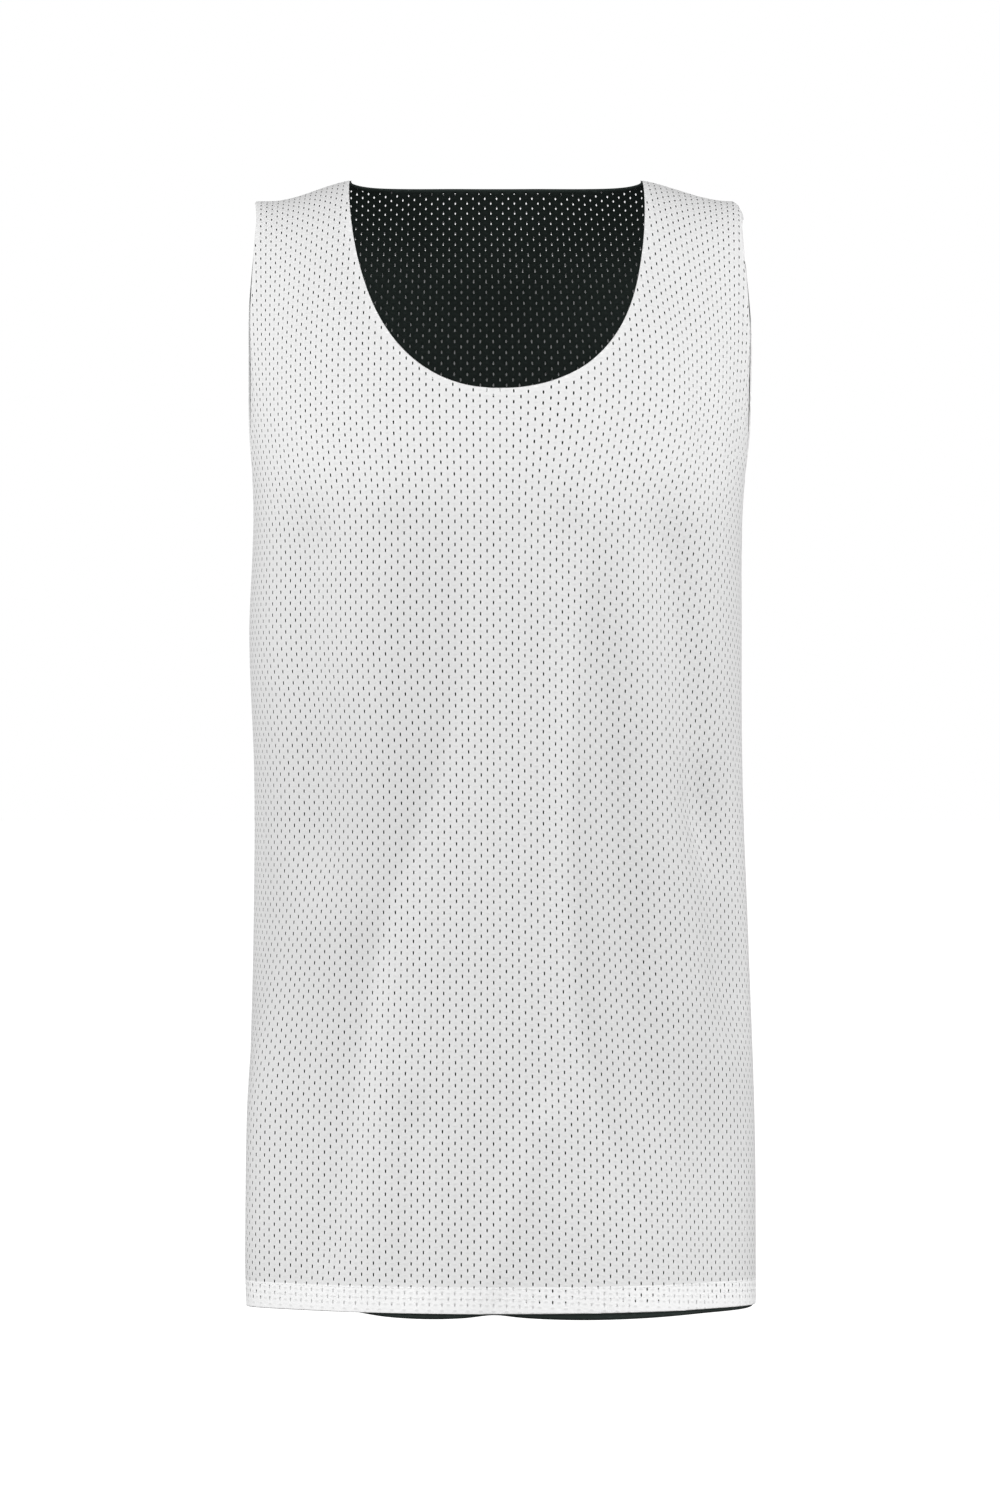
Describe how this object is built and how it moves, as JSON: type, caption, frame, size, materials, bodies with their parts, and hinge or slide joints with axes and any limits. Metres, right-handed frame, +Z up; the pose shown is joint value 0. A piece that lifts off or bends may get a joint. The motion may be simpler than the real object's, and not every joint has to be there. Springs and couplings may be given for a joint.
{
  "type": "basketball jersey",
  "caption": "Sleeveless reversible mesh jersey in two plies, white outside and dark inside, in the hollow form it has when worn, open at neck, armholes and hem.",
  "frame": {"origin": "on the shoulder line, midway between the straps, at the height of their underside, where the wearer holds the jersey up", "axes": "+Z up, the front faces -Y, +X to the viewer's right from the front"},
  "size_m": [0.3171, 0.2486, 0.7007],
  "materials": {
    "white_mesh": "matte",
    "dark_mesh": "matte"
  },
  "bodies": {
    "root": {"outer_front": "white_mesh", "outer_back": "white_mesh", "inner_front": "dark_mesh", "inner_back": "dark_mesh"}
  },
  "joints": []
}
